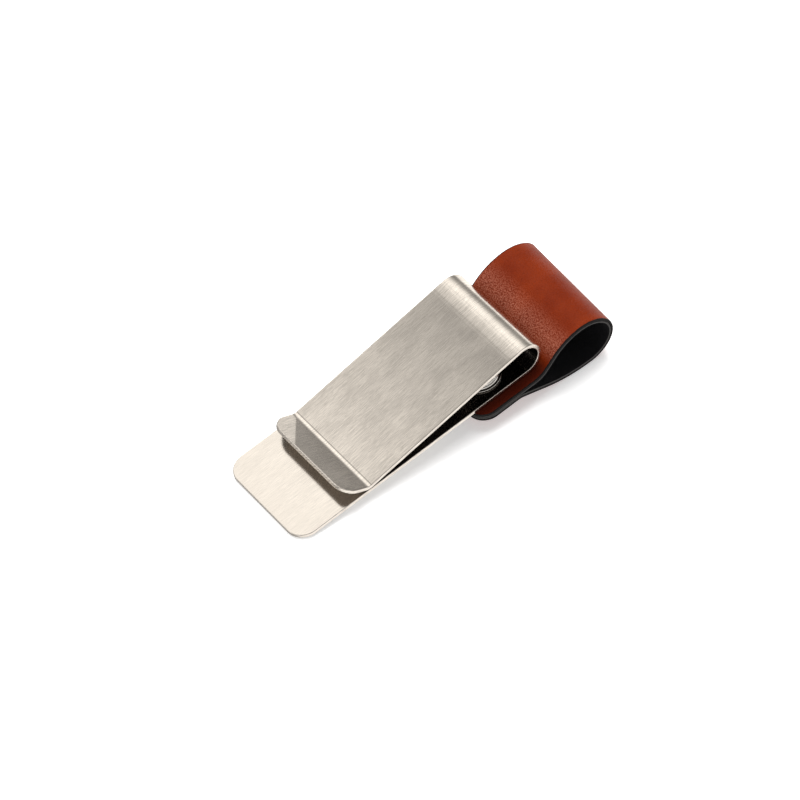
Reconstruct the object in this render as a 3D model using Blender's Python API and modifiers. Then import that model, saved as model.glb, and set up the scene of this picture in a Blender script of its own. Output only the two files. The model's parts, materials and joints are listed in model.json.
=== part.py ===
"""Pen-loop clip: a folded spring-steel clip with a leather loop riveted under its lower leaf.

Every piece is drawn with the lower leaf flat, its front edge on y = 0 and the leaf's centre line
on x = 0, in metres. One empty then tips the whole clip by a few degrees, so that it lies on a table
as it does in use: on the front edge of the lower leaf and on the belly of the leather loop.
"""
import math

import bmesh
import bpy
import numpy as np
from mathutils import Matrix, Vector

MM = 0.001

# Folded sheet
SHEET = 0.70 * MM                 # thickness
WIDTH = 20.0 * MM
FLAT_LENGTH = 46.74 * MM          # lower leaf, front edge to the start of the bend
BEND_LOW = 3.26 * MM              # outer radius of the lower half of the bend
BEND_HIGH = 3.26 * MM             # outer radius of its upper half
LEAF_SLOPE = math.radians(9.03)   # upper leaf against the lower one
CREASE = 0.60 * MM                # radius of the crease, on its hollow side
LIP_ANGLE = math.radians(30.5)
LIP_LENGTH = 4.85 * MM
FRONT_CORNER = 3.2 * MM
LIP_CORNER = 3.0 * MM
SEAM = 0.03 * MM                  # gap left between neighbouring solids of the one sheet
REST_GAP = 0.03 * MM              # crease above the lower leaf, closed

# Leather strap: leather outside, lining inside, both ends under the lower leaf
STRAP_WIDTH = 21.0 * MM
STRAP_SHIFT = 1.35 * MM           # the strap sits this much towards +X
STRAP_FRONT = 35.3 * MM
LEATHER = 0.50 * MM
LINING = 0.32 * MM
GLUE = 0.02 * MM
END_GAP = 0.04 * MM               # between the two lined ends
STRAP_CORNER = 3.2 * MM
NECK = 44.0 * MM                  # where the loop starts to flex
NECK_GAP = 0.36 * MM

# Loop, as the leather's outer face turns: radius and angle of each arc
HUG_GAP = 0.06 * MM
HUG_TURN = 38.0
RISE = 2.54 * MM
CROWN = (9.79 * MM, 38.0)
BACK = ((6.52 * MM, 50.0), (4.50 * MM, 40.0), (4.23 * MM, 45.0), (5.67 * MM, 45.0))
BELLY = (24.4 * MM, 22.0)
RETURN = (3.0 * MM, 22.0)
LOOP_SKEW = 1.00 * MM             # the loop reaches this much further back at its -X edge

# Rivets
RIVET_X = 5.0 * MM
RIVET_Y = 40.7 * MM
CAP_RADIUS = 3.7 * MM
CAP_HEIGHT = 1.30 * MM
POST_RADIUS = 1.30 * MM
POST_HOLE = 1.45 * MM
HEAD_RADIUS = 2.8 * MM
HEAD_HEIGHT = 0.80 * MM
RIVET_GAP = 0.03 * MM

STEP_ANGLE = 5.0                  # degrees between points on an arc
HAIR = 0.002 * MM                 # how far a shaping outline clears the faces it leaves alone


def new_collection(name):
    found = bpy.data.collections.new(name)
    bpy.context.scene.collection.children.link(found)
    return found


def material(name, colour, roughness, metallic):
    made = bpy.data.materials.new(name)
    made.use_nodes = True
    shader = made.node_tree.nodes["Principled BSDF"]
    shader.inputs["Base Color"].default_value = (*colour, 1.0)
    shader.inputs["Roughness"].default_value = roughness
    shader.inputs["Metallic"].default_value = metallic
    return made


def put(obj, collection, parent=None, look=None):
    """Moves an object to its collection, under its parent, and gives it its material."""
    for old in list(obj.users_collection):
        old.objects.unlink(obj)
    collection.objects.link(obj)
    obj.parent = parent
    if look is not None:
        obj.data.materials.clear()
        obj.data.materials.append(look)
    return obj


def walk(start, heading, moves):
    """Follows lines and arcs in the YZ plane. Gives points and the unit normals to their left.

    A move is ("line", length) or ("arc", radius, degrees), with left turns positive.
    """
    y, z = start
    angle = math.radians(heading)
    points, normals = [(y, z)], [(-math.sin(angle), math.cos(angle))]
    for move in moves:
        if move[0] == "line":
            y += move[1] * math.cos(angle)
            z += move[1] * math.sin(angle)
            points.append((y, z))
            normals.append((-math.sin(angle), math.cos(angle)))
            continue
        radius, turn = move[1], math.radians(move[2])
        side = 1.0 if turn > 0 else -1.0
        centre = (y - side * radius * math.sin(angle), z + side * radius * math.cos(angle))
        steps = max(2, round(abs(move[2]) / STEP_ANGLE))
        first = angle
        for step in range(1, steps + 1):
            angle = first + turn * step / steps
            y = centre[0] + side * radius * math.sin(angle)
            z = centre[1] - side * radius * math.cos(angle)
            points.append((y, z))
            normals.append((-math.sin(angle), math.cos(angle)))
    return np.array(points), np.array(normals)


def band(name, track, near, far, width, centre_x):
    """A strip as wide as width, between two offsets to the left of a track, as a closed mesh."""
    points, normals = track
    outline = np.vstack([points + normals * near, (points + normals * far)[::-1]])
    curve = bpy.data.curves.new(name, "CURVE")
    curve.dimensions = "2D"
    curve.fill_mode = "BOTH"
    curve.extrude = width / 2
    spline = curve.splines.new("POLY")
    spline.points.add(len(outline) - 1)
    for point, (y, z) in zip(spline.points, outline):
        point.co = (y, z, 0.0, 1.0)
    spline.use_cyclic_u = True
    drawn = bpy.data.objects.new(name, curve)
    drawn.rotation_euler = (math.pi / 2, 0.0, math.pi / 2)
    drawn.location = (centre_x, 0.0, 0.0)
    return to_mesh(drawn)


def plate(name, corners, radii, low, high, holes=()):
    """A flat plate in XY from low to high, with rounded corners and round holes (x, y, radius)."""
    curve = bpy.data.curves.new(name, "CURVE")
    curve.dimensions = "2D"
    curve.fill_mode = "BOTH"
    curve.extrude = (high - low) / 2
    rings = [rounded(corners, radii)]
    for x, y, radius in holes:
        rings.append([(x + radius * math.cos(a), y + radius * math.sin(a))
                      for a in np.linspace(0.0, 2 * math.pi, 32, endpoint=False)])
    for ring in rings:
        spline = curve.splines.new("POLY")
        spline.points.add(len(ring) - 1)
        for point, (x, y) in zip(spline.points, ring):
            point.co = (x, y, 0.0, 1.0)
        spline.use_cyclic_u = True
    drawn = bpy.data.objects.new(name, curve)
    drawn.location = (0.0, 0.0, (low + high) / 2)
    return to_mesh(drawn)


def rounded(corners, radii):
    """A polygon's outline, each right-angled corner turned with its own radius."""
    outline = []
    count = len(corners)
    for i, corner in enumerate(corners):
        here = Vector(corner)
        back = (Vector(corners[i - 1]) - here).normalized()
        on = (Vector(corners[(i + 1) % count]) - here).normalized()
        radius = radii[i]
        if radius == 0.0:
            outline.append(tuple(here))
            continue
        centre = here + (back + on) * radius
        for part in np.linspace(0.0, math.pi / 2, 10):
            outline.append(tuple(centre - on * radius * math.cos(part) - back * radius * math.sin(part)))
    return outline


def block(low_x, high_x, front, back):
    """Corners of a rectangle that reaches a hair past both sides and the front of what it shapes."""
    return [(low_x - HAIR, front - HAIR), (high_x + HAIR, front - HAIR),
            (high_x + HAIR, back), (low_x - HAIR, back)]


def to_mesh(drawn):
    """A curve object made a mesh object, its caps welded to its sides."""
    bpy.context.scene.collection.objects.link(drawn)
    bpy.context.view_layer.update()
    graph = bpy.context.evaluated_depsgraph_get()
    data = bpy.data.meshes.new_from_object(drawn.evaluated_get(graph))
    name = drawn.name
    place = drawn.matrix_world.copy()
    curve = drawn.data
    bpy.data.objects.remove(drawn)
    bpy.data.curves.remove(curve)
    data.name = name
    work = bmesh.new()
    work.from_mesh(data)
    bmesh.ops.remove_doubles(work, verts=work.verts, dist=1e-6)
    bmesh.ops.recalc_face_normals(work, faces=work.faces)
    work.to_mesh(data)
    work.free()
    made = bpy.data.objects.new(name, data)
    data.transform(place)
    bpy.context.scene.collection.objects.link(made)
    return made


def turned(name, profile, place, look):
    """A solid turned about Z from (radius, height) points that run from top to bottom."""
    work = bmesh.new()
    verts = [work.verts.new((radius, 0.0, height)) for radius, height in profile]
    for a, b in zip(verts, verts[1:]):
        work.edges.new((a, b))
    data = bpy.data.meshes.new(name)
    work.to_mesh(data)
    work.free()
    obj = bpy.data.objects.new(name, data)
    obj.location = place
    spin = obj.modifiers.new("turn", "SCREW")
    spin.steps = spin.render_steps = 40
    spin.use_merge_vertices = True
    spin.merge_threshold = 0.00002
    spin.use_smooth_shade = True
    return put(obj, parts, clip, look)


def cut(obj, cutter, operation):
    step = obj.modifiers.new(operation.lower(), "BOOLEAN")
    step.operation = operation
    step.solver = "EXACT"
    step.object = cutter


def make_cutter(obj):
    put(obj, cutters, clip)
    obj.hide_render = True
    obj.display_type = "WIRE"
    return obj


def smooth(obj, angle=25.0):
    obj.data.shade_smooth()
    obj.data.set_sharp_from_angle(angle=math.radians(angle))


def dome(radius, height, edge, count=9):
    """Points of a low dome from its crown out to the rim, where it is as high as edge."""
    rise = height - edge
    return [(radius * math.sin(a), edge + rise * math.cos(a))
            for a in np.linspace(0.0, math.pi / 2, count)]


for old in list(bpy.data.objects):
    bpy.data.objects.remove(old)

parts = new_collection("pen_loop_clip")
cutters = new_collection("cutters")

steel = material("brushed_steel", (0.62, 0.59, 0.54), 0.32, 1.0)
leather = material("brown_leather", (0.33, 0.075, 0.022), 0.45, 0.0)
lining = material("black_lining", (0.012, 0.011, 0.011), 0.75, 0.0)
plating = material("nickel_plating", (0.72, 0.71, 0.69), 0.12, 1.0)

clip = bpy.data.objects.new("clip_frame", None)
parts.objects.link(clip)

# The sheet's outer face, from the front edge of the lower leaf round to the lip
bend_moves = [("arc", BEND_LOW, 90.0), ("arc", BEND_HIGH, 90.0 + math.degrees(LEAF_SLOPE))]
bend_end = walk((FLAT_LENGTH, 0.0), 0.0, bend_moves)[0][-1]
crease_low = CREASE + SHEET
slope_length = ((bend_end[1] - SHEET - REST_GAP - crease_low + CREASE * math.cos(LEAF_SLOPE))
                / math.sin(LEAF_SLOPE))
leaf_moves = [
    ("line", slope_length),
    ("arc", CREASE, -math.degrees(LEAF_SLOPE + LIP_ANGLE)),
    ("line", LIP_LENGTH),
]
leaf_track = walk(tuple(bend_end), 180.0 + math.degrees(LEAF_SLOPE), leaf_moves)

rivets = ((-RIVET_X, "left"), (RIVET_X, "right"))
holes = [(x, RIVET_Y, POST_HOLE) for x, _ in rivets]
half = WIDTH / 2
lower_leaf = plate(
    "lower_leaf", [(-half, 0.0), (half, 0.0), (half, FLAT_LENGTH - SEAM), (-half, FLAT_LENGTH - SEAM)],
    (FRONT_CORNER, FRONT_CORNER, 0.0, 0.0), 0.0, SHEET, holes)
put(lower_leaf, parts, clip, steel)
smooth(lower_leaf)

spring_bend = band("spring_bend", walk((FLAT_LENGTH, 0.0), 0.0, bend_moves), 0.0, SHEET, WIDTH, 0.0)
put(spring_bend, parts, clip, steel)
smooth(spring_bend)

# The upper leaf hangs from a pivot in the middle of the bend
leaf_pivot = bpy.data.objects.new("leaf_pivot", None)
parts.objects.link(leaf_pivot)
leaf_pivot.parent = clip
leaf_pivot.location = (0.0, FLAT_LENGTH, BEND_LOW)
upper_track = (leaf_track[0].copy(), leaf_track[1])
upper_track[0][0] -= SEAM * np.array((math.cos(LEAF_SLOPE), math.sin(LEAF_SLOPE)))
upper_leaf = band("upper_leaf", upper_track, 0.0, SHEET, WIDTH, 0.0)
upper_leaf.data.transform(Matrix.Translation(-leaf_pivot.location))
put(upper_leaf, parts, leaf_pivot, steel)
smooth(upper_leaf)
lip_front = leaf_track[0][-1][0] - SHEET * math.sin(LIP_ANGLE)
lip_shape = make_cutter(plate(
    "lip_shape", block(-half, half, lip_front, 60 * MM),
    (LIP_CORNER, LIP_CORNER, 0.0, 0.0), -5 * MM, 15 * MM))
cut(upper_leaf, lip_shape, "INTERSECT")

# The strap: the outer face of the leather from its upper end round to its lower end
hug = BEND_LOW + HUG_GAP
lead = FLAT_LENGTH - STRAP_FRONT
strap_moves = [("line", lead), ("arc", hug, HUG_TURN), ("line", RISE), ("arc", CROWN[0], -CROWN[1])]
strap_moves += [("arc", radius, -turn) for radius, turn in BACK]
strap_moves += [("arc", BELLY[0], -BELLY[1])]
strap_start = (STRAP_FRONT, -HUG_GAP)
closed = walk(strap_start, 0.0, strap_moves + [("arc", RETURN[0], RETURN[1])])[0][-1]
bottom = -HUG_GAP - 2 * (LEATHER + GLUE + LINING) - END_GAP
run_in = (bottom - closed[1]) / math.sin(math.radians(BELLY[1]))
back_move = [("line", run_in), ("arc", RETURN[0], RETURN[1])]
strap_end = walk(strap_start, 0.0, strap_moves + back_move)[0][-1]
strap_moves += back_move + [("line", strap_end[0] - STRAP_FRONT)]
whole = walk(strap_start, 0.0, strap_moves)


def clipped(track, keep_front, upper):
    """The stretch of a track in front of the neck, or behind it, with a clean end on the cut."""
    points, normals = track
    cut_y = NECK - NECK_GAP / 2 if keep_front else NECK + NECK_GAP / 2
    split = int(np.argmax(points[:, 0]))
    order = range(0, split) if upper else range(split, len(points) - 1)
    for i in order:
        a, b = points[i], points[i + 1]
        if (a[0] - cut_y) * (b[0] - cut_y) <= 0 and a[0] != b[0]:
            part = (cut_y - a[0]) / (b[0] - a[0])
            edge = a + (b - a) * part
            normal = normals[i] * (1 - part) + normals[i + 1] * part
            return i, edge, normal / np.linalg.norm(normal)
    raise ValueError("the track does not cross the neck")


def stretch(keep_front, upper):
    """Points and normals of one riveted end, or of the loop when keep_front is False."""
    if keep_front and upper:
        i, edge, normal = clipped(whole, True, True)
        return np.vstack([whole[0][:i + 1], edge]), np.vstack([whole[1][:i + 1], normal])
    if keep_front:
        i, edge, normal = clipped(whole, True, False)
        return np.vstack([edge, whole[0][i + 1:]]), np.vstack([normal, whole[1][i + 1:]])
    i, first, first_normal = clipped(whole, False, True)
    j, last, last_normal = clipped(whole, False, False)
    return (np.vstack([first, whole[0][i + 1:j + 1], last]),
            np.vstack([first_normal, whole[1][i + 1:j + 1], last_normal]))


layers = ((0.0, -LEATHER), (-LEATHER - GLUE, -LEATHER - GLUE - LINING))
left = STRAP_SHIFT - STRAP_WIDTH / 2
right = STRAP_SHIFT + STRAP_WIDTH / 2
end_shape = make_cutter(plate(
    "strap_end_shape", block(left, right, STRAP_FRONT, 50 * MM),
    (STRAP_CORNER, STRAP_CORNER, 0.0, 0.0), -8 * MM, 2 * MM, holes))
for side, upper in (("upper", True), ("lower", False)):
    for kind, (near, far), look in (("strap", layers[0], leather), ("lining", layers[1], lining)):
        end = band(f"{kind}_{side}_end", stretch(True, upper), near, far, STRAP_WIDTH, STRAP_SHIFT)
        put(end, parts, clip, look)
        cut(end, end_shape, "INTERSECT")

loop_back = float(whole[0][:, 0].max())


def skew(data):
    """Draws the loop out towards its back, from nothing at the +X edge to LOOP_SKEW at the other."""
    work = bmesh.new()
    work.from_mesh(data)
    for x in np.linspace(left, right, 8)[1:-1]:
        bmesh.ops.bisect_plane(work, geom=[*work.verts, *work.edges, *work.faces],
                               plane_co=(x, 0.0, 0.0), plane_no=(1.0, 0.0, 0.0))
    for vertex in work.verts:
        across = (right - vertex.co.x) / STRAP_WIDTH
        along = (vertex.co.y - NECK) / (loop_back - NECK)
        vertex.co.y += LOOP_SKEW * across * max(0.0, along)
    work.to_mesh(data)
    work.free()


# The loop lifts by wrapping further round the bend, so it turns about the bend's middle too
loop_pivot = bpy.data.objects.new("loop_pivot", None)
parts.objects.link(loop_pivot)
loop_pivot.parent = clip
loop_pivot.location = (STRAP_SHIFT, FLAT_LENGTH, BEND_LOW)
for name, (near, far), look in (("loop_leather", layers[0], leather), ("loop_lining", layers[1], lining)):
    made = band(name, stretch(False, True), near, far, STRAP_WIDTH, STRAP_SHIFT)
    skew(made.data)
    made.data.transform(Matrix.Translation(-loop_pivot.location))
    put(made, parts, loop_pivot, look)
    smooth(made)

# Rivets: a stepped, domed cap above the leaf, and a post with a flat head under the strap
cap_rim = 0.32 * MM
step_radius = CAP_RADIUS - 0.45 * MM
socket_top = 0.75 * MM
cap_profile = [(r, z) for r, z in dome(step_radius - 0.25 * MM, CAP_HEIGHT, cap_rim + 0.30 * MM)]
cap_profile += [
    (step_radius, cap_rim + 0.12 * MM),
    (step_radius, cap_rim),
    (CAP_RADIUS - 0.10 * MM, cap_rim),
    (CAP_RADIUS, cap_rim - 0.10 * MM),
    (CAP_RADIUS, 0.0),
    (POST_HOLE, 0.0),
    (POST_HOLE, socket_top),
    (0.0, socket_top),
]
head_top = bottom - RIVET_GAP
post_top = SHEET + RIVET_GAP + socket_top - RIVET_GAP
post_profile = [
    (0.0, post_top),
    (POST_RADIUS, post_top),
    (POST_RADIUS, head_top),
    (HEAD_RADIUS, head_top),
    (HEAD_RADIUS, head_top - 0.30 * MM),
]
post_profile += [(r, head_top - z) for r, z in reversed(dome(HEAD_RADIUS - 0.1 * MM, HEAD_HEIGHT, 0.38 * MM))]
for x, side in rivets:
    turned(f"rivet_cap_{side}", cap_profile, (x, RIVET_Y, SHEET + RIVET_GAP), plating)
    turned(f"rivet_post_{side}", post_profile, (x, RIVET_Y, 0.0), plating)

# Lying on a table: the front edge of the lower leaf and the belly of the loop both touch it
outline = whole[0]
rest_tilt = max(math.atan2(-z, y) for y, z in outline)
clip.rotation_euler = (rest_tilt, 0.0, 0.0)
turn = Matrix.Rotation(rest_tilt, 3, "X")
reach = [(y + LOOP_SKEW * (y - NECK) / (loop_back - NECK), z) for y, z in outline if y > NECK]
ends_y = [(turn @ Vector((0.0, y, z))).y for y, z in [*reach, (0.0, 0.0), (0.0, SHEET)]]
middle_x = (min(left, -half) + max(right, half)) / 2
clip.location = (-middle_x, -(min(ends_y) + max(ends_y)) / 2, 0.0)
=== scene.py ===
"""Pen-loop clip on a pale table: a folded brushed sheet, and a lined leather strap held by nickel rivets."""
import json
import math

import bmesh
import bpy
import numpy as np
from mathutils import Matrix, Vector


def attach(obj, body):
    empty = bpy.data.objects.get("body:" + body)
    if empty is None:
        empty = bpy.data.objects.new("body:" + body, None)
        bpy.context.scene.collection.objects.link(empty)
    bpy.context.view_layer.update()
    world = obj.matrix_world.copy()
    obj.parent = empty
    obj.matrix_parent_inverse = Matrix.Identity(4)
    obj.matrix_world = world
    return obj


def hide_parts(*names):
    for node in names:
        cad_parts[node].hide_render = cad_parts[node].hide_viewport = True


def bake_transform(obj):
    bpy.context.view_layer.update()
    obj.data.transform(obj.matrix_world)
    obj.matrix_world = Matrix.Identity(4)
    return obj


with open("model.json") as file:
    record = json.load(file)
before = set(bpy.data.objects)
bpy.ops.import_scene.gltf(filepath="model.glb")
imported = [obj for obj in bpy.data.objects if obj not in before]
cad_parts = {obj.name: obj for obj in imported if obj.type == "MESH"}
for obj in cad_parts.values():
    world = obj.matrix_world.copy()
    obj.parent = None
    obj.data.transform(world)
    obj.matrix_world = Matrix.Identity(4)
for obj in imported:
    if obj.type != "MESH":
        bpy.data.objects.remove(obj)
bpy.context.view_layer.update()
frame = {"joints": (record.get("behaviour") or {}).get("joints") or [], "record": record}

MM = 0.001

# The CAD model's driving sizes, down to the rivets

# Folded sheet
SHEET = 0.70 * MM                 # thickness
WIDTH = 20.0 * MM
FLAT_LENGTH = 46.74 * MM          # lower leaf, front edge to the start of the bend
BEND = 3.26 * MM                  # outer radius
LEAF_SLOPE = math.radians(9.03)   # upper leaf against the lower one
CREASE = 0.60 * MM                # radius of the solid's crease, on its hollow side
CREASE_SOFT = 1.40 * MM           # the dressed crease is rounder than the solid's
LIP_ANGLE = math.radians(30.5)
LIP_LENGTH = 4.85 * MM
FRONT_CORNER = 3.2 * MM
LIP_CORNER = 3.0 * MM
REST_GAP = 0.03 * MM              # crease above the lower leaf, closed

# Leather strap and its lining, both ends under the lower leaf
STRAP_WIDTH = 21.0 * MM
STRAP_SHIFT = 1.35 * MM           # the strap sits this much towards +X
STRAP_FRONT = 35.3 * MM
LEATHER = 0.50 * MM
LINING = 0.32 * MM
GLUE = 0.02 * MM
END_GAP = 0.04 * MM               # between the two lined ends
STRAP_CORNER = 3.2 * MM
NECK = 44.0 * MM                  # where the loop starts

# Loop, as the leather's outer face turns: radius and angle of each arc
HUG_GAP = 0.06 * MM               # between the sheet and the strap that lies against it
HUG_TURN = 38.0
RISE = 2.54 * MM
CROWN = (9.79 * MM, 38.0)
BACK = ((6.52 * MM, 50.0), (4.50 * MM, 40.0), (4.23 * MM, 45.0), (5.67 * MM, 45.0))
BELLY = (24.4 * MM, 22.0)
RETURN = (3.0 * MM, 22.0)
LOOP_SKEW = 1.00 * MM             # the loop reaches this much further back at its -X edge

# Rivets
RIVET_X = 5.0 * MM
RIVET_Y = 40.7 * MM
CAP_RADIUS = 3.7 * MM
CAP_HEIGHT = 1.30 * MM
POST_RADIUS = 1.30 * MM
HEAD_RADIUS = 2.8 * MM
HEAD_HEIGHT = 0.80 * MM
RIVET_GAP = 0.03 * MM

# Dressing
SKIN = 0.008 * MM                 # the dressed faces sit this far inside the solids they stand for
SHEET_ROUND = 0.11 * MM           # rounding of the rims of the sheet, the leather and the lining
LEATHER_ROUND = 0.13 * MM
LINING_ROUND = 0.06 * MM
NEAR = 1e-7                       # metres within which two places count as one
UV_SPAN = 0.1                     # metres of surface that one unit of a piece's UV map spans
UNDER_SHIFT = 0.37                # how far along U the map of a plate's underside lies from its top's
FACE_UP = 0.75                    # a plate's face with less of its normal along h is part of its rim
FLOOR_GLOW = 0.42                 # the table is a light box, so its shadows stay pale

# Where the clip lies: tipped about X, with the middle of its bend at the jaw's hinge
mounts = {mount["name"]: mount for mount in frame["record"]["mounts"]}
up = mounts["page_grip"]["axis"]
tip = Matrix.Rotation(math.atan2(-up[1], up[2]), 4, "X")
hinge = Vector(next(joint["pos_m"] for joint in frame["joints"] if joint["name"] == "jaw_open"))
CLIP = Matrix.Translation(hinge - tip.to_3x3() @ Vector((0.0, FLAT_LENGTH, BEND))) @ tip


# ---------------------------------------------------------------- shapes

def walk(start, heading, moves, step_angle=3.0, step_line=1.0 * MM):
    """Follows lines and arcs in the YZ plane. Gives points and the unit normals to their left."""
    y, z = start
    angle = math.radians(heading)
    points, normals = [(y, z)], [(-math.sin(angle), math.cos(angle))]
    for move in moves:
        if move[0] == "line":
            steps = max(1, math.ceil(move[1] / step_line))
            for _ in range(steps):
                y += move[1] / steps * math.cos(angle)
                z += move[1] / steps * math.sin(angle)
                points.append((y, z))
                normals.append((-math.sin(angle), math.cos(angle)))
            continue
        radius, turn = move[1], math.radians(move[2])
        side = 1.0 if turn > 0 else -1.0
        centre = (y - side * radius * math.sin(angle), z + side * radius * math.cos(angle))
        steps = max(2, math.ceil(abs(move[2]) / step_angle))
        first = angle
        for step in range(1, steps + 1):
            angle = first + turn * step / steps
            y = centre[0] + side * radius * math.sin(angle)
            z = centre[1] - side * radius * math.cos(angle)
            points.append((y, z))
            normals.append((-math.sin(angle), math.cos(angle)))
    points, normals = np.array(points), np.array(normals)
    along = np.concatenate([[0.0], np.cumsum(np.linalg.norm(np.diff(points, axis=0), axis=1))])
    return points, normals, along


def rounded_rectangle(half, front, back, front_radius, back_radius, count=14):
    """Outline in (x, s) of a rectangle with rounded corners at its front and its back."""
    corners = [((-half, front), front_radius), ((half, front), front_radius),
               ((half, back), back_radius), ((-half, back), back_radius)]
    outline = []
    for i, (corner, radius) in enumerate(corners):
        here = Vector(corner)
        behind = (Vector(corners[i - 1][0]) - here).normalized()
        ahead = (Vector(corners[(i + 1) % 4][0]) - here).normalized()
        if radius == 0.0:
            outline.append(tuple(here))
            continue
        centre = here + (behind + ahead) * radius
        for part in np.linspace(0.0, math.pi / 2, count):
            outline.append(tuple(centre - ahead * radius * math.cos(part) - behind * radius * math.sin(part)))
    return outline


def flat_plate(outline, low, high, rounding, stations, columns, open_at=()):
    """A plate in (x, s, h) with rounded rims, cut into strips at stations along it and columns across it.

    The ends listed in open_at meet another plate of the same sheet, so their rims stay square and sharp.
    """
    work = bmesh.new()
    face = work.faces.new([work.verts.new((x, s, low)) for x, s in outline])
    grown = bmesh.ops.extrude_face_region(work, geom=[face])
    for item in grown["geom"]:
        if isinstance(item, bmesh.types.BMVert):
            item.co.z = high
    bmesh.ops.recalc_face_normals(work, faces=work.faces)

    def is_seam(edge):
        return any(all(abs(vert.co.y - s) < NEAR for vert in edge.verts) for s in open_at)

    def is_level(edge):
        return abs(edge.verts[0].co.z - edge.verts[1].co.z) < NEAR

    rims = [edge for edge in work.edges if is_level(edge) and not is_seam(edge)]
    bmesh.ops.bevel(work, geom=rims, offset=rounding, offset_type="OFFSET", segments=3, profile=0.5,
                    affect="EDGES", clamp_overlap=True)
    for normal, places in (((0.0, 1.0, 0.0), stations), ((1.0, 0.0, 0.0), columns)):
        for place in places:
            bmesh.ops.bisect_plane(work, geom=[*work.verts, *work.edges, *work.faces], dist=NEAR,
                                   plane_co=Vector(normal) * place, plane_no=normal)
    for edge in work.edges:
        if is_seam(edge):
            edge.smooth = False
    return work


def bend_plate(name, work, track, looks, shift=0.0, warp=None):
    """Lays a flat plate along a track, and makes it an object in its place on the table.

    The looks are for its two faces and its rims, and a third one is for its upper face alone. shift moves it
    along X, and warp gives how far a point (x, s, h) moves along h.
    """
    points, normals, along = track
    layer = work.loops.layers.uv.new("UVMap")
    for face in work.faces:
        under = UNDER_SHIFT if face.normal.z < -0.5 else 0.0
        face.material_index = 0 if abs(face.normal.z) > FACE_UP else 1
        if face.normal.z > FACE_UP and len(looks) > 2:
            face.material_index = 2
        face.smooth = True
        for loop in face.loops:
            x, s, h = loop.vert.co
            loop[layer].uv = ((x + h) / UV_SPAN + under, (s + 0.5 * h) / UV_SPAN)
    for vert in work.verts:
        x, s, h = vert.co
        if warp is not None:
            h += warp(x, s, h)
        y = np.interp(s, along, points[:, 0])
        z = np.interp(s, along, points[:, 1])
        ny = np.interp(s, along, normals[:, 0])
        nz = np.interp(s, along, normals[:, 1])
        length = math.hypot(ny, nz)
        vert.co = (x + shift, y + ny / length * h, z + nz / length * h)
    return finish_mesh(name, work, looks)


def finish_mesh(name, work, looks):
    """Makes an object of a mesh drawn in the clip's own frame, and puts it where the clip lies."""
    data = bpy.data.meshes.new(name)
    work.transform(CLIP)
    work.to_mesh(data)
    work.free()
    for look in looks:
        data.materials.append(look)
    made = bpy.data.objects.new(name, data)
    bpy.context.scene.collection.objects.link(made)
    weigh = made.modifiers.new("weighted normals", "WEIGHTED_NORMAL")
    weigh.weight = 60
    weigh.keep_sharp = True
    return made


def turned(profile, segments):
    """A mesh turned about Z from (radius, height) points, where a radius of 0 makes a single point."""
    work = bmesh.new()
    rings = []
    for radius, height in profile:
        around = np.linspace(0.0, 2 * math.pi, segments if radius > 0.0 else 1, endpoint=False)
        rings.append([work.verts.new((radius * math.cos(a), radius * math.sin(a), height)) for a in around])
    for first, second in zip(rings, rings[1:]):
        for i in range(segments):
            j = (i + 1) % segments
            corners = [first[i % len(first)], second[i % len(second)],
                       second[j % len(second)], first[j % len(first)]]
            work.faces.new(list(dict.fromkeys(corners)))
    return work


def lathe(name, profile, place, looks):
    """A closed body turned about Z from (radius, height) points that run from top to bottom."""
    work = turned(profile, 72)
    layer = work.loops.layers.uv.new("UVMap")
    for face in work.faces:
        face.smooth = True
        for loop in face.loops:
            x, y, z = loop.vert.co
            loop[layer].uv = ((x + z) / UV_SPAN, (y + 0.5 * z) / UV_SPAN)
    bmesh.ops.translate(work, verts=work.verts, vec=place)
    return finish_mesh(name, work, looks)


# ---------------------------------------------------------------- materials

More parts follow.
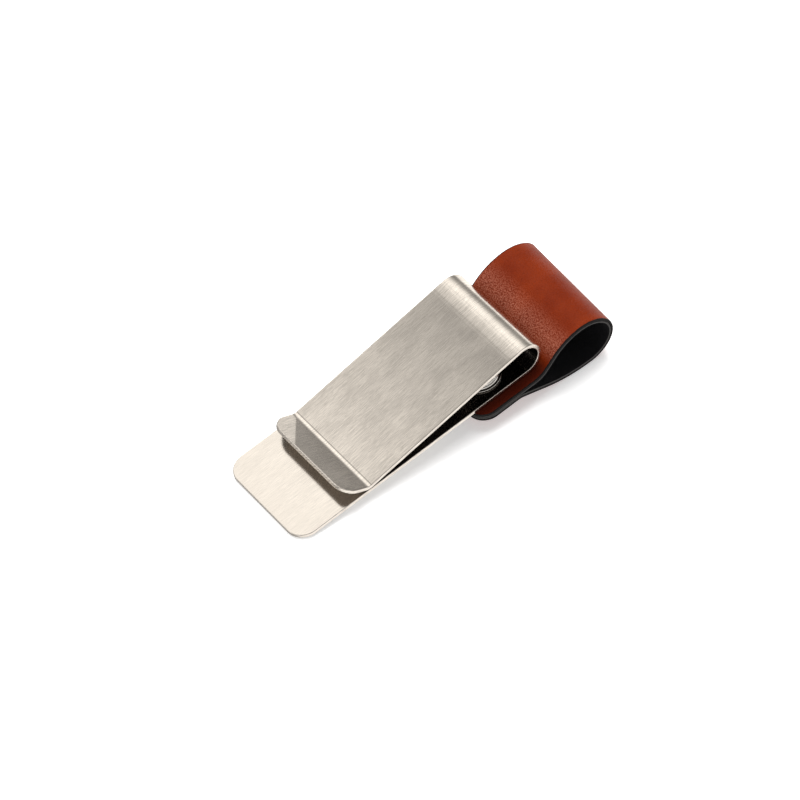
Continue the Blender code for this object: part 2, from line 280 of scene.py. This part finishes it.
class Nodes:
    """A material's node tree, with short calls for the nodes that the looks below share."""

    def __init__(self, name):
        self.material = bpy.data.materials.new(name)
        self.material.use_nodes = True
        self.tree = self.material.node_tree
        self.shader = self.tree.nodes["Principled BSDF"]

    def add(self, kind, **settings):
        """A new node of a kind, with its own settings."""
        node = self.tree.nodes.new(kind)
        for key, value in settings.items():
            setattr(node, key, value)
        return node

    def link(self, source, target):
        self.tree.links.new(source, target)
        return target

    def feed(self, node, **values):
        """Gives a node's inputs values or links, with _ for each space in an input's name."""
        for key, value in values.items():
            socket = node.inputs[key.replace("_", " ")]
            if isinstance(value, bpy.types.NodeSocket):
                self.link(value, socket)
            else:
                socket.default_value = value
        return node

    def surface_mm(self):
        """The piece's own surface coordinates, in millimetres."""
        uv = self.add("ShaderNodeUVMap", uv_map="UVMap")
        scaled = self.add("ShaderNodeVectorMath", operation="SCALE")
        self.link(uv.outputs["UV"], scaled.inputs[0])
        scaled.inputs["Scale"].default_value = UV_SPAN / MM
        return scaled.outputs["Vector"]

    def stretched(self, vector, x, y):
        """Coordinates scaled by x and y, so that a noise is drawn out along the smaller one."""
        made = self.add("ShaderNodeVectorMath", operation="MULTIPLY")
        self.link(vector, made.inputs[0])
        made.inputs[1].default_value = (x, y, 1.0)
        return made.outputs["Vector"]

    def noise(self, vector, scale, detail=3.0, roughness=0.5, dims="2D"):
        """Fractal noise from 0 to 1."""
        made = self.add("ShaderNodeTexNoise", noise_dimensions=dims)
        self.feed(made, Vector=vector, Scale=scale, Detail=detail, Roughness=roughness)
        return made.outputs["Fac"]

    def span(self, value, low, high, to_low=0.0, to_high=1.0, smooth=False):
        """Runs from to_low to to_high while value runs from low to high, and stays there outside them."""
        made = self.add("ShaderNodeMapRange")
        if smooth:
            made.interpolation_type = "SMOOTHSTEP"
        self.feed(made, Value=value, From_Min=low, From_Max=high, To_Min=to_low, To_Max=to_high)
        return made.outputs["Result"]

    def math(self, operation, a, b=0.0):
        """One sum on two numbers or sockets."""
        made = self.add("ShaderNodeMath", operation=operation)
        for socket, value in zip(made.inputs, (a, b)):
            if isinstance(value, bpy.types.NodeSocket):
                self.link(value, socket)
            else:
                socket.default_value = value
        return made.outputs["Value"]

    def blend(self, amount, first, second):
        """The first colour where amount is 0 and the second where it is 1."""
        made = self.add("ShaderNodeMix", data_type="RGBA")
        factor, colour_a, colour_b = made.inputs["Factor"], made.inputs[6], made.inputs[7]
        for socket, value in ((factor, amount), (colour_a, first), (colour_b, second)):
            if isinstance(value, bpy.types.NodeSocket):
                self.link(value, socket)
            else:
                socket.default_value = value if socket.type == "VALUE" else (*value, 1.0)
        return made.outputs[2]

    def bump(self, height, distance, strength=1.0, under=None):
        """Relief as deep as distance, on top of the relief in under."""
        made = self.add("ShaderNodeBump")
        self.feed(made, Height=height, Distance=distance, Strength=strength)
        if under is not None:
            self.link(under, made.inputs["Normal"])
        return made.outputs["Normal"]


JAW_SHADE_STEEL = (0.197, 0.179, 0.166)   # painted shade: the dark colour the lower leaf fades to inside the jaw, standing in for the shade there


def brushed_steel(name, dark, pale, contrast=1.0, gloss=0.25, bow=None, crease_shade_line=None,
                  shade_stretch=None, corner=None):
    """Sheet steel brushed along the clip: hair-thin strokes that vary its tone, gloss and relief.

    bow gives (place along the sheet, relief) points in millimetres, for the slight hollow of a sprung leaf.
    crease_shade_line is where along the sheet a thin line of painted shade runs along the crease, and
    shade_stretch is the stretch over which the colour fades to the much darker steel of painted shade inside
    the jaw. corner gives (place of the -X edge, start, slant, lean in degrees) of the lip's -X corner, shaded
    as if bent a little further than the rest.
    """
    n = Nodes(name)
    place = n.surface_mm()
    strokes = n.noise(n.stretched(place, 7.0, 0.30), 1.0, 4.0, 0.65)
    fine = n.noise(n.stretched(place, 15.0, 0.9), 1.0, 2.0, 0.6)
    clouds = n.noise(n.stretched(place, 0.35, 0.16), 1.0, 2.0, 0.5)
    grain = n.math("ADD", n.math("MULTIPLY", strokes, 0.6), n.math("MULTIPLY", fine, 0.4))
    tone = n.math("ADD", n.math("MULTIPLY", grain, 0.8), n.math("MULTIPLY", clouds, 0.2))
    reach = 0.14 / contrast
    colour = n.blend(n.span(tone, 0.5 - reach, 0.5 + reach), dark, pale)
    split = n.add("ShaderNodeSeparateXYZ")
    n.link(place, split.inputs[0])
    along = split.outputs["Y"]
    under = None
    # Painted shade: over this stretch inside the jaw the colour fades to a much darker steel
    if shade_stretch is not None:
        colour = n.blend(n.span(along, *shade_stretch, smooth=True), colour, JAW_SHADE_STEEL)
    # Painted shade: a thin dark line along the crease
    if crease_shade_line is not None:
        off_line = n.math("ABSOLUTE", n.math("SUBTRACT", along, crease_shade_line))
        colour = n.blend(n.span(off_line, 0.02, 0.10, 0.6, 0.0), colour, (0.10, 0.09, 0.08))
    if bow is not None:
        curve = n.add("ShaderNodeFloatCurve")
        points = curve.mapping.curves[0].points
        first, last = bow[0][0], bow[-1][0]
        highest = max(relief for _, relief in bow)
        for _ in range(len(bow) - 2):
            points.new(0.5, 0.5)
        for point, (at, relief) in zip(points, bow):
            point.location = ((at - first) / (last - first), relief / highest)
        curve.mapping.update()
        n.link(n.span(along, first, last), curve.inputs["Value"])
        under = n.bump(curve.outputs["Value"], highest * MM, 1.0)
    n.feed(n.shader, Base_Color=colour, Metallic=1.0, Anisotropic=0.45,
           Roughness=n.span(grain, 0.35, 0.65, gloss + 0.03, gloss - 0.03))
    tangent = n.add("ShaderNodeTangent", direction_type="UV_MAP", uv_map="UVMap")
    n.link(tangent.outputs["Tangent"], n.shader.inputs["Tangent"])
    if corner is not None:
        edge, start, slant, lean = corner
        past = n.math("SUBTRACT", along, start)
        from_edge = n.math("SUBTRACT", split.outputs["X"], edge)
        inside = n.math("SUBTRACT", from_edge, n.math("MULTIPLY", past, slant))
        bent = n.math("MULTIPLY", n.span(inside, -0.15, 0.15, 1.0, 0.0), n.span(past, 0.3, 0.5))
        rise = n.math("MULTIPLY", past, math.tan(math.radians(lean)))
        under = n.bump(rise, MM, bent, under)
    n.link(n.bump(grain, 0.006 * MM, 0.35 * contrast, under), n.shader.inputs["Normal"])
    return n.material


def sheared_edge():
    """The sheet's cut edge, tumbled smooth: brighter and a little wavy."""
    n = Nodes("sheared_edge")
    place = n.surface_mm()
    waves = n.noise(n.stretched(place, 3.0, 0.5), 1.0, 3.0, 0.55)
    colour = n.blend(n.span(waves, 0.35, 0.65), (0.62, 0.565, 0.51), (0.83, 0.77, 0.70))
    n.feed(n.shader, Base_Color=colour, Metallic=1.0, Roughness=n.span(waves, 0.3, 0.7, 0.22, 0.34))
    n.link(n.bump(waves, 0.01 * MM, 0.4), n.shader.inputs["Normal"])
    return n.material


def brown_leather():
    """Finished leather: pebbled grain, slow changes of tone, edge paint creeping over its border, a painted
    sheen on the grain near the bend, and painted shade where it runs under the sheet.
    """
    n = Nodes("brown_leather")
    place = n.surface_mm()
    pebbles = n.add("ShaderNodeTexVoronoi", voronoi_dimensions="2D", feature="SMOOTH_F1")
    wander = n.add("ShaderNodeVectorMath", operation="ADD")
    drift = n.add("ShaderNodeTexNoise", noise_dimensions="2D")
    n.feed(drift, Vector=place, Scale=1.3, Detail=2.0)
    n.link(place, wander.inputs[0])
    n.link(n.stretched(drift.outputs["Color"], 0.5, 0.5), wander.inputs[1])
    n.feed(pebbles, Vector=wander.outputs["Vector"], Scale=4.4, Smoothness=0.5, Randomness=1.0)
    pores = n.noise(place, 7.0, 4.0, 0.6)
    patches = n.noise(n.stretched(place, 1.0, 0.6), 0.22, 3.0, 0.5)
    wear = n.noise(n.stretched(place, 0.9, 1.6), 0.9, 4.0, 0.65)
    tone = n.blend(n.span(patches, 0.35, 0.65), (0.155, 0.0160, 0.0021), (0.192, 0.0222, 0.0030))
    tone = n.blend(n.span(wear, 0.60, 0.85, 0.0, 0.2), tone, (0.24, 0.042, 0.010))
    tone = n.blend(n.span(pebbles.outputs["Distance"], 0.30, 0.75, 0.0, 0.30), tone, (0.085, 0.009, 0.002))
    split = n.add("ShaderNodeSeparateXYZ")
    n.link(place, split.inputs[0])
    along = split.outputs["Y"]
    # Painted shade: the strap turns much darker where it runs under the sheet
    shade_under_sheet = n.span(along, 12.6, 15.4, 1.0, 0.0, smooth=True)
    tone = n.blend(n.math("MULTIPLY", shade_under_sheet, 0.72), tone, (0.045, 0.006, 0.004))
    # Painted sheen: paler colour on the grain's crests in a band near the bend
    painted_sheen_band = n.math("MULTIPLY", n.span(along, 14.6, 16.8, smooth=True),
                             n.span(along, 17.6, 21.8, 1.0, 0.0, smooth=True))
    crests = n.span(pebbles.outputs["Distance"], 0.10, 0.50, 1.0, 0.0)
    painted_sheen_crests = n.math("MULTIPLY", painted_sheen_band, n.math("ADD", n.math("MULTIPLY", crests, 0.72), 0.10))
    tone = n.blend(painted_sheen_crests, tone, (0.44, 0.155, 0.10))
    ragged = n.math("MULTIPLY", n.math("SUBTRACT", n.noise(place, 1.6, 3.0), 0.5), 0.16)
    border = n.math("ADD", n.math("ABSOLUTE", split.outputs["X"]), ragged)
    strap_edge = STRAP_WIDTH / 2 / MM
    paint = n.span(border, strap_edge - 0.24, strap_edge - 0.14)
    tone = n.blend(paint, tone, (0.010, 0.008, 0.008))
    relief = n.math("SUBTRACT", n.math("MULTIPLY", pores, 0.35), pebbles.outputs["Distance"])
    n.feed(n.shader, Base_Color=tone, Roughness=n.span(pores, 0.3, 0.7, 0.33, 0.44), Specular_IOR_Level=0.07)
    n.link(n.bump(relief, 0.04 * MM, 0.7), n.shader.inputs["Normal"])
    return n.material


def edge_paint():
    """Black paint on the leather's cut edge, brushed on in uneven coats."""
    n = Nodes("edge_paint")
    place = n.surface_mm()
    coats = n.noise(n.stretched(place, 5.0, 1.2), 1.0, 3.0, 0.6)
    colour = n.blend(n.span(coats, 0.35, 0.70), (0.004, 0.0035, 0.0035), (0.018, 0.014, 0.014))
    n.feed(n.shader, Base_Color=colour, Roughness=n.span(coats, 0.3, 0.7, 0.45, 0.6), Specular_IOR_Level=0.08)
    n.link(n.bump(coats, 0.02 * MM, 0.6), n.shader.inputs["Normal"])
    return n.material


def black_lining():
    """Thin matt lining with a short nap."""
    n = Nodes("black_lining")
    place = n.surface_mm()
    nap = n.noise(place, 9.0, 4.0, 0.65)
    patches = n.noise(place, 0.5, 2.0, 0.5)
    colour = n.blend(n.span(n.math("ADD", nap, n.math("MULTIPLY", patches, 0.4)), 0.5, 0.95),
                     (0.005, 0.005, 0.006), (0.018, 0.017, 0.020))
    n.feed(n.shader, Base_Color=colour, Roughness=n.span(nap, 0.3, 0.7, 0.72, 0.9), Specular_IOR_Level=0.25)
    n.link(n.bump(nap, 0.03 * MM, 0.6), n.shader.inputs["Normal"])
    return n.material


def lining_edge():
    """The lining's cut edge, worn to dark grey fibres."""
    n = Nodes("lining_edge")
    place = n.surface_mm()
    fibres = n.noise(n.stretched(place, 9.0, 3.0), 1.0, 4.0, 0.7)
    colour = n.blend(n.span(fibres, 0.35, 0.68), (0.012, 0.011, 0.011), (0.065, 0.060, 0.058))
    n.feed(n.shader, Base_Color=colour, Roughness=n.span(fibres, 0.3, 0.7, 0.55, 0.8))
    n.link(n.bump(fibres, 0.03 * MM, 0.7), n.shader.inputs["Normal"])
    return n.material


def nickel_plating():
    """Polished nickel with faint swirls and handling marks."""
    n = Nodes("nickel_plating")
    place = n.surface_mm()
    smudge = n.noise(place, 0.8, 4.0, 0.6)
    hairline = n.noise(n.stretched(place, 9.0, 1.2), 1.0, 2.0, 0.5)
    colour = n.blend(n.span(smudge, 0.35, 0.65), (0.60, 0.575, 0.54), (0.74, 0.715, 0.68))
    n.feed(n.shader, Base_Color=colour, Metallic=1.0,
           Roughness=n.span(n.math("ADD", smudge, n.math("MULTIPLY", hairline, 0.3)), 0.4, 0.9, 0.10, 0.22))
    n.link(n.bump(hairline, 0.002 * MM, 0.3), n.shader.inputs["Normal"])
    return n.material


def pale_floor():
    """A matt pale table top, softly lit from within."""
    n = Nodes("pale_floor")
    coordinates = n.add("ShaderNodeTexCoord")
    patches = n.noise(coordinates.outputs["Object"], 6.0, 3.0, 0.5, dims="3D")
    colour = n.blend(n.span(patches, 0.3, 0.7), (0.90, 0.90, 0.905), (0.93, 0.93, 0.93))
    n.feed(n.shader, Base_Color=colour, Roughness=0.75, Specular_IOR_Level=0.0,
           Emission_Color=(1.0, 1.0, 1.0, 1.0), Emission_Strength=FLOOR_GLOW)
    return n.material


def pale_wall():
    """The backdrop round the table, evenly lit."""
    n = Nodes("pale_wall")
    coordinates = n.add("ShaderNodeTexCoord")
    patches = n.noise(coordinates.outputs["Object"], 0.5, 2.0, 0.5, dims="3D")
    glow = n.blend(patches, (0.93, 0.93, 0.935), (0.97, 0.97, 0.97))
    n.feed(n.shader, Base_Color=(0.0, 0.0, 0.0, 1.0), Roughness=1.0, Specular_IOR_Level=0.0,
           Emission_Color=glow, Emission_Strength=1.0)
    return n.material


# The lower leaf fades to painted shade from 24 to 46 mm along it, inside the jaw
steel = brushed_steel("brushed_steel", (0.59, 0.545, 0.487), (0.69, 0.637, 0.569), gloss=0.18,
                      shade_stretch=(24.0, 46.0))
# Painted shade: the inner faces of the bend and the upper leaf get a much darker steel, standing in for the
# shade inside the jaw
steel_inside = brushed_steel("painted_shade_steel", (0.17, 0.154, 0.143), (0.225, 0.204, 0.189), contrast=0.6)
steel_edge = sheared_edge()
leather = brown_leather()
painted = edge_paint()
lining = black_lining()
frayed = lining_edge()
nickel = nickel_plating()

# ---------------------------------------------------------------- the folded sheet

half = WIDTH / 2 - SKIN
sheet_columns = [side * (half - inset) for side in (-1, 1) for inset in (0.35 * MM, 1.2 * MM)]

flat_track = walk((0.0, 0.0), 0.0, [("line", FLAT_LENGTH)])
work = flat_plate(rounded_rectangle(half, SKIN, FLAT_LENGTH, FRONT_CORNER, 0.0), SKIN, SHEET - SKIN,
                  SHEET_ROUND, [0.4 * MM, 3.4 * MM, 10 * MM, 20 * MM, 30 * MM, 40 * MM, 46 * MM],
                  sheet_columns, open_at=(FLAT_LENGTH,))
sheet_lower = bend_plate("sheet_lower", work, flat_track, (steel, steel_edge))

bend_moves = [("arc", BEND, 180.0 + math.degrees(LEAF_SLOPE))]
bend_end = walk((FLAT_LENGTH, 0.0), 0.0, bend_moves)[0][-1]
slope_length = ((bend_end[1] - SHEET - REST_GAP - CREASE - SHEET + CREASE * math.cos(LEAF_SLOPE))
                / math.sin(LEAF_SLOPE))
cut_back = (CREASE_SOFT - CREASE) * math.tan((LEAF_SLOPE + LIP_ANGLE) / 2)
sheet_moves = bend_moves + [
    ("line", slope_length - cut_back),
    ("arc", CREASE_SOFT, -math.degrees(LEAF_SLOPE + LIP_ANGLE)),
    ("line", LIP_LENGTH - cut_back),
]
sheet_track = walk((FLAT_LENGTH, 0.0), 0.0, sheet_moves)
sheet_length = sheet_track[2][-1]
work = flat_plate(rounded_rectangle(half, 0.0, sheet_length - SKIN, 0.0, LIP_CORNER), SKIN, SHEET - SKIN,
                  SHEET_ROUND, list(sheet_track[2][1:-1]), sheet_columns, open_at=(0.0,))

# The shading of the upper leaf: its ends in millimetres along the sheet, and the degrees it leans on the way
leaf_start = BEND * (math.pi + LEAF_SLOPE) / MM
leaf_end = leaf_start + (slope_length - cut_back) / MM
leans = [(leaf_start - 2.0, 0.0), (leaf_start, 4.5), (leaf_start + 0.9, 0.5), (leaf_start + 2.6, -2.9),
         (leaf_end, 2.8)]
lip_corner = (UNDER_SHIFT * UV_SPAN / MM - WIDTH / 2 / MM, leaf_end, 1.25, 4.3)


def relief_from(leans, count=49):
    """Sums leans of (place in millimetres, degrees) into (place, relief) points, the lowest at 0."""
    places = np.linspace(leans[0][0], leans[-1][0], count)
    slopes = np.tan(np.radians(np.interp(places, *zip(*leans))))
    steps = np.diff(places) * (slopes[1:] + slopes[:-1]) / 2
    relief = np.concatenate([[0.0], np.cumsum(steps)])
    return list(zip(places, relief - relief.min()))


# The upper leaf carries a thin line of painted shade along its crease
steel_leaf = brushed_steel("brushed_steel_leaf", (0.54, 0.498, 0.445), (0.76, 0.70, 0.625), contrast=1.5,
                           gloss=0.23, bow=relief_from(leans), crease_shade_line=leaf_end, corner=lip_corner)
sheet_upper = bend_plate("sheet_upper", work, sheet_track, (steel_leaf, steel_edge, steel_inside))

# ---------------------------------------------------------------- the strap and its lining

hug = BEND + HUG_GAP
strap_start = (STRAP_FRONT, -HUG_GAP)
strap_moves = [("line", FLAT_LENGTH - STRAP_FRONT), ("arc", hug, HUG_TURN), ("line", RISE),
               ("arc", CROWN[0], -CROWN[1])]
strap_moves += [("arc", radius, -turn) for radius, turn in BACK]
strap_moves += [("arc", BELLY[0], -BELLY[1])]
closed = walk(strap_start, 0.0, strap_moves + [("arc", RETURN[0], RETURN[1])])[0][-1]
bottom = -HUG_GAP - 2 * (LEATHER + GLUE + LINING) - END_GAP
run_in = (bottom - closed[1]) / math.sin(math.radians(BELLY[1]))
strap_moves += [("line", run_in), ("arc", RETURN[0], RETURN[1])]
strap_end = walk(strap_start, 0.0, strap_moves)[0][-1]
strap_moves += [("line", strap_end[0] - STRAP_FRONT)]
strap_track = walk(strap_start, 0.0, strap_moves)
strap_length = strap_track[2][-1]
strap_half = STRAP_WIDTH / 2 - SKIN
loop_back = float(strap_track[0][:, 0].max())

rng = np.random.default_rng(11)
ripple = [(rng.uniform(0.25, 0.8), rng.uniform(0.15, 0.5), rng.uniform(0, 6.28)) for _ in range(7)]


def handled(x, s, h):
    """Slight hollows of soft leather, always inwards."""
    wave = sum(math.sin(a * x / MM + b * s / MM + c) for a, b, c in ripple) / len(ripple)
    return 0.012 * MM * (wave - 1.0) * (1.0 if h > -0.1 * MM else 0.0)


def drawn_back(obj):
    """Draws the loop out towards its back at its -X edge."""
    inverse = CLIP.inverted()
    for vertex in obj.data.vertices:
        here = inverse @ vertex.co
        across = (STRAP_SHIFT + STRAP_WIDTH / 2 - here.x) / STRAP_WIDTH
        along = (here.y - NECK) / (loop_back - NECK)
        here.y += LOOP_SKEW * across * max(0.0, along)
        vertex.co = CLIP @ here


strap_columns = list(np.linspace(-strap_half + 0.6 * MM, strap_half - 0.6 * MM, 16))
strap_outline = rounded_rectangle(strap_half, SKIN, strap_length - SKIN, STRAP_CORNER, STRAP_CORNER)
strap_stations = list(strap_track[2][1:-1])
work = flat_plate(strap_outline, -LEATHER + SKIN, -SKIN, LEATHER_ROUND, strap_stations, strap_columns)
strap_leather = bend_plate("strap_leather", work, strap_track, (leather, painted), STRAP_SHIFT, handled)
drawn_back(strap_leather)
work = flat_plate(strap_outline, -LEATHER - GLUE - LINING + SKIN, -LEATHER - GLUE - SKIN, LINING_ROUND,
                  strap_stations, strap_columns)
strap_lining = bend_plate("strap_lining", work, strap_track, (lining, frayed), STRAP_SHIFT)
drawn_back(strap_lining)

# ---------------------------------------------------------------- the rivets

SHOULDER = 0.72                   # below 1 fills out the dome's shoulders
rim = 0.32 * MM                   # top of the cap's flange
dome_foot = rim + 0.26 * MM
dome_height = CAP_HEIGHT - dome_foot
step_radius = CAP_RADIUS - 0.45 * MM
dome_radius = step_radius - 0.22 * MM
cap_profile = [(0.0, CAP_HEIGHT - SKIN)]
cap_profile += [(dome_radius * math.sin(a) ** SHOULDER, dome_foot + dome_height * math.cos(a) ** SHOULDER)
                for a in np.linspace(0.0, math.radians(89.9), 26)[1:]]
cap_profile += [
    (step_radius - 0.10 * MM, rim + 0.20 * MM),
    (step_radius - 0.03 * MM, rim + 0.13 * MM),
    (step_radius, rim + 0.04 * MM),
    (step_radius + 0.03 * MM, rim),
    (CAP_RADIUS - 0.14 * MM, rim),
    (CAP_RADIUS - 0.07 * MM, rim - 0.015 * MM),
    (CAP_RADIUS - 0.02 * MM, rim - 0.06 * MM),
    (CAP_RADIUS - SKIN, rim - 0.13 * MM),
    (CAP_RADIUS - SKIN, 0.05 * MM),
    (CAP_RADIUS - 0.05 * MM, 0.0),
    (0.0, 0.0),
]

post_top = SHEET + 0.6 * MM
head_top = bottom - RIVET_GAP
button_radius = HEAD_RADIUS - 0.08 * MM
button_top = head_top - 0.36 * MM
button_height = HEAD_HEIGHT - 0.36 * MM - SKIN
post_profile = [
    (0.0, post_top),
    (POST_RADIUS - 0.08 * MM, post_top),
    (POST_RADIUS, post_top - 0.1 * MM),
    (POST_RADIUS, head_top),
    (HEAD_RADIUS - 0.06 * MM, head_top),
    (HEAD_RADIUS - SKIN, head_top - 0.06 * MM),
    (HEAD_RADIUS - SKIN, head_top - 0.28 * MM),
]
post_profile += [(button_radius * math.sin(a), button_top - button_height * math.cos(a))
                 for a in np.linspace(math.pi / 2, 0.0, 14)[:-1]]
post_profile += [(0.0, button_top - button_height)]
for x, side in ((-RIVET_X, "left"), (RIVET_X, "right")):
    cap = lathe(f"cap_{side}", cap_profile, (x, RIVET_Y, SHEET + RIVET_GAP), (nickel,))
    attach(cap, "clip_base")
    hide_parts(f"rivet_cap_{side}")
    post = lathe(f"post_{side}", post_profile, (x, RIVET_Y, 0.0), (nickel,))
    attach(post, "clip_base")
    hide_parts(f"rivet_post_{side}")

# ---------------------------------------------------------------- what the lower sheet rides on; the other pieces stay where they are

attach(sheet_lower, "clip_base")
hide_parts("lower_leaf")


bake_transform(sheet_upper)
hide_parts("spring_bend", "upper_leaf")

for piece, nodes, slot in (
        (strap_leather, ("strap_upper_end", "strap_lower_end", "loop_leather"), "brown_leather"),
        (strap_lining, ("lining_upper_end", "lining_lower_end", "loop_lining"), "black_lining")):
    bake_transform(piece)
    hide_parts(*nodes)

# ---------------------------------------------------------------- table, light and camera


def set_piece(name, profile, look):
    """A round piece of the set, turned about Z from (radius, height) points that run outwards."""
    work = turned(profile, 48)
    data = bpy.data.meshes.new(name)
    work.to_mesh(data)
    work.free()
    data.materials.append(look)
    made = bpy.data.objects.new(name, data)
    bpy.context.scene.collection.objects.link(made)
    return made


floor = set_piece("floor", [(radius, 0.0) for radius in (0.0, 0.12, 0.3, 0.8, 2.0, 5.0)], pale_floor())
floor.visible_glossy = False
floor.visible_diffuse = False
wall = set_piece("backdrop", [(5.0, 0.0), (5.6, 0.3), (6.0, 1.2), (6.0, 6.0), (4.0, 8.0)], pale_wall())
for ray in ("glossy", "diffuse", "transmission", "volume_scatter", "shadow"):
    setattr(wall, "visible_" + ray, False)

KEY_WAY = Vector((-0.30, 0.34, 0.89)).normalized()
KEY_AIM = Vector((0.0, 0.0, 4.0 * MM))
KEY_DISTANCE = 500.0 * MM

softbox = bpy.data.lights.new("key", "AREA")
softbox.shape = "RECTANGLE"
softbox.size = softbox.size_y = 340.0 * MM
softbox.energy = 2.8
key = bpy.data.objects.new("key", softbox)
key.location = KEY_AIM + KEY_WAY * KEY_DISTANCE
key.rotation_mode = "QUATERNION"
key.rotation_quaternion = KEY_WAY.to_track_quat("Z", "Y")
key.visible_glossy = False
bpy.context.scene.collection.objects.link(key)


class Sky(Nodes):
    """The studio round the clip: soft panels and dark gaps, as a brightness for each direction."""

    TINT = (1.0, 0.985, 0.965, 1.0)

    def __init__(self):
        world = bpy.data.worlds.new("studio")
        world.use_nodes = True
        bpy.context.scene.world = world
        self.tree = world.node_tree
        self.shader = self.tree.nodes["Background"]
        self.shader.inputs["Color"].default_value = self.TINT

    def ramp(self, value, stops):
        """A curve through (position, brightness) stops, where value runs from -1 to 1."""
        made = self.add("ShaderNodeValToRGB")
        made.color_ramp.interpolation = "B_SPLINE"
        elements = made.color_ramp.elements
        brightest = max(level for _, level in stops)
        for _ in range(len(stops) - 2):
            elements.new(0.5)
        for element, (place, level) in zip(elements, stops):
            element.position = (place + 1.0) / 2.0
            element.color = (level / brightest, level / brightest, level / brightest, 1.0)
        self.link(self.span(value, -1.0, 1.0), made.inputs["Fac"])
        return self.math("MULTIPLY", made.outputs["Color"], brightest)


# Brightness by a direction's Y, from -1 at the clip's front to 1 behind its loop
OVERHEAD = [(-1.0, 0.3), (-0.78, 3.0), (-0.58, 0.6), (-0.3, 0.12), (-0.18, 0.36), (-0.08, 0.95), (0.02, 1.35),
            (0.14, 1.5), (0.3, 1.66), (0.45, 1.5), (0.56, 0.95), (0.66, 0.5), (0.78, 0.3), (1.0, 0.3)]
LOW_DOWN = [(-1.0, 0.45), (-0.2, 0.45), (0.1, 0.08), (0.3, 0.15), (0.5, 0.7), (0.7, 1.6), (1.0, 1.6)]
DARKEST_OVERHEAD = 0.28

sky = Sky()
toward = sky.add("ShaderNodeTexCoord")
split = sky.add("ShaderNodeSeparateXYZ")
sky.link(toward.outputs["Generated"], split.inputs[0])
x_way, y_way, z_way = (split.outputs[axis] for axis in "XYZ")
left_side = sky.span(x_way, 0.2, -0.3, 0.08, 1.0, smooth=True)
overhead = sky.math("MAXIMUM", sky.math("MULTIPLY", sky.ramp(y_way, OVERHEAD), left_side), DARKEST_OVERHEAD)
right_side = sky.span(x_way, -0.15, 0.35, 0.0, 1.3, smooth=True)
low_down = sky.math("MAXIMUM", sky.ramp(y_way, LOW_DOWN), right_side)
height = sky.span(z_way, 0.08, 0.24, smooth=True)
brightness = sky.math("ADD", sky.math("MULTIPLY", overhead, height),
                      sky.math("MULTIPLY", low_down, sky.math("SUBTRACT", 1.0, height)))
# The camera sees an evenly pale room past the table; only light and reflections see the panels and gaps
looked_at = sky.add("ShaderNodeLightPath").outputs["Is Camera Ray"]
sky.link(sky.math("MAXIMUM", brightness, looked_at), sky.shader.inputs["Strength"])

bpy.context.scene.view_settings.view_transform = "Standard"

# The camera looks down on the clip from its front right, in the clip's own frame
LOOK_AT = Vector((0.0, 30.0 * MM, 3.0 * MM))
AZIMUTH, ELEVATION, ROLL = math.radians(65.21), math.radians(53.31), math.radians(-16.41)
DISTANCE = 633.91 * MM
OFF_AXIS = (0.991 * MM, 2.087 * MM)   # how far right and up of the picture's middle LOOK_AT falls
forward = Vector((-math.sin(AZIMUTH) * math.cos(ELEVATION), math.cos(AZIMUTH) * math.cos(ELEVATION),
                  -math.sin(ELEVATION)))
level = Vector((math.cos(AZIMUTH), math.sin(AZIMUTH), 0.0))
above = level.cross(forward)
right = level * math.cos(ROLL) + above * math.sin(ROLL)
upward = above * math.cos(ROLL) - level * math.sin(ROLL)
eye = LOOK_AT - right * OFF_AXIS[0] - upward * OFF_AXIS[1] - forward * DISTANCE
lens = bpy.data.cameras.new("camera")
lens.lens = 178.45
lens.sensor_width = 36.0
lens.clip_start, lens.clip_end = 0.01, 20.0
camera = bpy.data.objects.new("camera", lens)
turn = Matrix((right, upward, -forward)).transposed().to_4x4()
camera.matrix_world = CLIP @ Matrix.Translation(eye) @ turn
bpy.context.scene.collection.objects.link(camera)
bpy.context.scene.camera = camera

bpy.context.view_layer.update()
